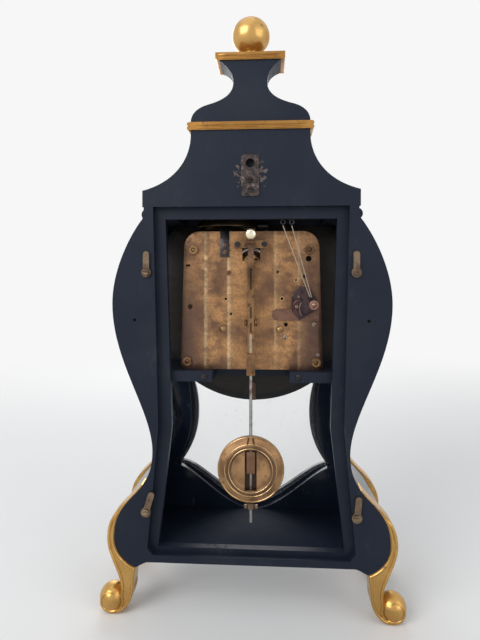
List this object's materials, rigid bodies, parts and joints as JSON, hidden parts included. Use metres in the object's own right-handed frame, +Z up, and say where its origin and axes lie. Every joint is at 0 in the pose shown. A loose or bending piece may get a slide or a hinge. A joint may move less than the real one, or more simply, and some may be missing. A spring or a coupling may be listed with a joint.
{
  "type": "neuchatel clock",
  "caption": "Waisted bracket clock on scroll legs with a bonnet and ball finial, open at the back to show a plated movement, pendulum, bell and repeat lever, with a glazed front door.",
  "frame": {"origin": "centre of the clock's footprint on the table, between the four feet", "axes": "+Z up, the open back faces +Y, the dial and front door face -Y, +X to the right seen from the front"},
  "size_m": [0.3114, 0.131, 0.6122],
  "materials": {
    "case_black": "black lacquer on wood, scuffed",
    "inner_wood": "bare aged softwood",
    "gilt": "bright gilding",
    "plate_brass": "patinated brass",
    "button_brass": "worn brass",
    "wheel_brass": "brass",
    "bob_brass": "turned brass",
    "bell_metal": "cast bell metal",
    "steel": "polished steel",
    "dark_steel": "blued steel",
    "copper_screw": "coppery screw",
    "iron": "rusty iron",
    "glass": "clear glass",
    "enamel": "white enamel",
    "cord": "pale twisted cord"
  },
  "bodies": {
    "case": {"rear_frame": "case_black", "front_frame": "case_black", "left_side_panel": "case_black", "right_side_panel": "case_black", "cornice_board": "case_black", "bonnet": "case_black", "dome": "case_black", "base_board": "inner_wood", "seat_board": "inner_wood", "dial_board": "inner_wood", "gilt_band": "gilt", "pedestal_cap": "gilt", "finial_ball": "gilt", "rear_left_leg": "gilt", "rear_right_leg": "gilt", "front_left_leg": "gilt", "front_right_leg": "gilt", "back_plate": "plate_brass", "front_plate": "plate_brass", "pillars": "plate_brass", "suspension_cock": "plate_brass", "suspension_knob": "plate_brass", "lever_cock": "plate_brass", "dial_catch": "plate_brass", "door_hinges": "button_brass", "bell": "bell_metal", "cord_eyelets": "steel", "button_screws": "steel", "small_screws": "steel", "pillar_nuts": "steel", "bell_stand": "dark_steel", "lever_screw": "copper_screw", "hanger_plate": "iron", "side_glass": "glass", "dial_plate": "enamel", "repeat_cord": "cord"},
    "pendulum": {"suspension_spring": "steel", "hook_rod": "bob_brass", "pendulum_rod": "steel", "pendulum_bob": "bob_brass"},
    "rating_nut": {"rating_nut": "bob_brass"},
    "crutch": {"crutch": "wheel_brass", "pallets": "steel"},
    "going_barrel": {"going_barrel": "wheel_brass"},
    "strike_barrel": {"strike_barrel": "wheel_brass"},
    "centre_wheel": {"centre_wheel": "wheel_brass"},
    "third_wheel": {"third_wheel": "wheel_brass"},
    "escape_wheel": {"escape_wheel": "wheel_brass"},
    "minute_hand": {"minute_hand": "dark_steel"},
    "hour_hand": {"hour_hand": "dark_steel"},
    "minute_wheel": {"minute_wheel": "wheel_brass"},
    "hammer": {"hammer": "steel"},
    "repeat_lever": {"repeat_lever": "dark_steel"},
    "upper_left_button": {"upper_left_button": "button_brass"},
    "upper_right_button": {"upper_right_button": "button_brass"},
    "lower_left_button": {"lower_left_button": "button_brass"},
    "lower_right_button": {"lower_right_button": "button_brass"},
    "front_door": {"front_door": "case_black", "door_glass": "glass", "door_fittings": "gilt"}
  },
  "joints": [
    {"name": "pendulum_swing", "type": "hinge", "parent": "case", "child": "pendulum", "pos_m": [0, 0.04385, 0.377], "axis": [0, 1, 0], "range_deg": [-4, 4]},
    {"name": "rating_nut_turn", "type": "hinge", "parent": "pendulum", "child": "rating_nut", "pos_m": [0, 0.04385, 0.1062], "axis": [0, 0, 1], "continuous": true},
    {"name": "crutch_swing", "type": "hinge", "parent": "case", "child": "crutch", "pos_m": [0, 0.03085, 0.377], "axis": [0, 1, 0], "range_deg": [-4, 4]},
    {"name": "third_wheel_turn", "type": "hinge", "parent": "case", "child": "third_wheel", "pos_m": [0.0235, 0.01085, 0.3468], "axis": [0, 1, 0], "continuous": true},
    {"name": "centre_wheel_turn", "type": "hinge", "parent": "case", "child": "centre_wheel", "pos_m": [0, 0.01085, 0.32], "axis": [0, 1, 0], "continuous": true},
    {"name": "going_barrel_turn", "type": "hinge", "parent": "case", "child": "going_barrel", "pos_m": [0.03, 0.01085, 0.288], "axis": [0, 1, 0], "continuous": true},
    {"name": "escape_wheel_turn", "type": "hinge", "parent": "case", "child": "escape_wheel", "pos_m": [0, 0.01085, 0.3565], "axis": [0, 1, 0], "continuous": true},
    {"name": "strike_barrel_turn", "type": "hinge", "parent": "case", "child": "strike_barrel", "pos_m": [-0.03, 0.01085, 0.288], "axis": [0, 1, 0], "continuous": true},
    {"name": "minute_hand_turn", "type": "hinge", "parent": "case", "child": "minute_hand", "pos_m": [0, -0.02915, 0.32], "axis": [0, 1, 0], "continuous": true},
    {"name": "hour_hand_turn", "type": "hinge", "parent": "case", "child": "hour_hand", "pos_m": [0, -0.02915, 0.32], "axis": [0, 1, 0], "continuous": true},
    {"name": "minute_wheel_turn", "type": "hinge", "parent": "case", "child": "minute_wheel", "pos_m": [0.0136, -0.01915, 0.3064], "axis": [0, 1, 0], "continuous": true},
    {"name": "hammer_lift", "type": "hinge", "parent": "case", "child": "hammer", "pos_m": [-0.056, 0.01085, 0.343], "axis": [0, -1, 0], "range_deg": [0, 10]},
    {"name": "repeat_lever_pull", "type": "hinge", "parent": "case", "child": "repeat_lever", "pos_m": [-0.0655, 0.03635, 0.3136], "axis": [0, -1, 0], "range_deg": [0, 12], "deforming": ["repeat_cord"]},
    {"name": "upper_left_button_turn", "type": "hinge", "parent": "case", "child": "upper_left_button", "pos_m": [0.1052, 0.06225, 0.3477], "axis": [0, 1, 0], "continuous": true},
    {"name": "upper_right_button_turn", "type": "hinge", "parent": "case", "child": "upper_right_button", "pos_m": [-0.1052, 0.06225, 0.3477], "axis": [0, 1, 0], "continuous": true},
    {"name": "lower_left_button_turn", "type": "hinge", "parent": "case", "child": "lower_left_button", "pos_m": [0.1055, 0.06225, 0.1052], "axis": [0, 1, 0], "continuous": true},
    {"name": "lower_right_button_turn", "type": "hinge", "parent": "case", "child": "lower_right_button", "pos_m": [-0.1055, 0.06225, 0.1052], "axis": [0, 1, 0], "continuous": true},
    {"name": "front_door_swing", "type": "hinge", "parent": "case", "child": "front_door", "pos_m": [0.129, -0.05105, 0.316], "axis": [0, 0, 1], "range_deg": [0, 110]}
  ],
  "couplings": [
    {"joint": "crutch_swing", "follows": "pendulum_swing", "ratio": 1},
    {"joint": "centre_wheel_turn", "follows": "third_wheel_turn", "ratio": -0.083333},
    {"joint": "going_barrel_turn", "follows": "third_wheel_turn", "ratio": 0.0069444},
    {"joint": "escape_wheel_turn", "follows": "third_wheel_turn", "ratio": -9},
    {"joint": "minute_wheel_turn", "follows": "minute_hand_turn", "ratio": -0.33333},
    {"joint": "hour_hand_turn", "follows": "minute_hand_turn", "ratio": 0.083333}
  ]
}
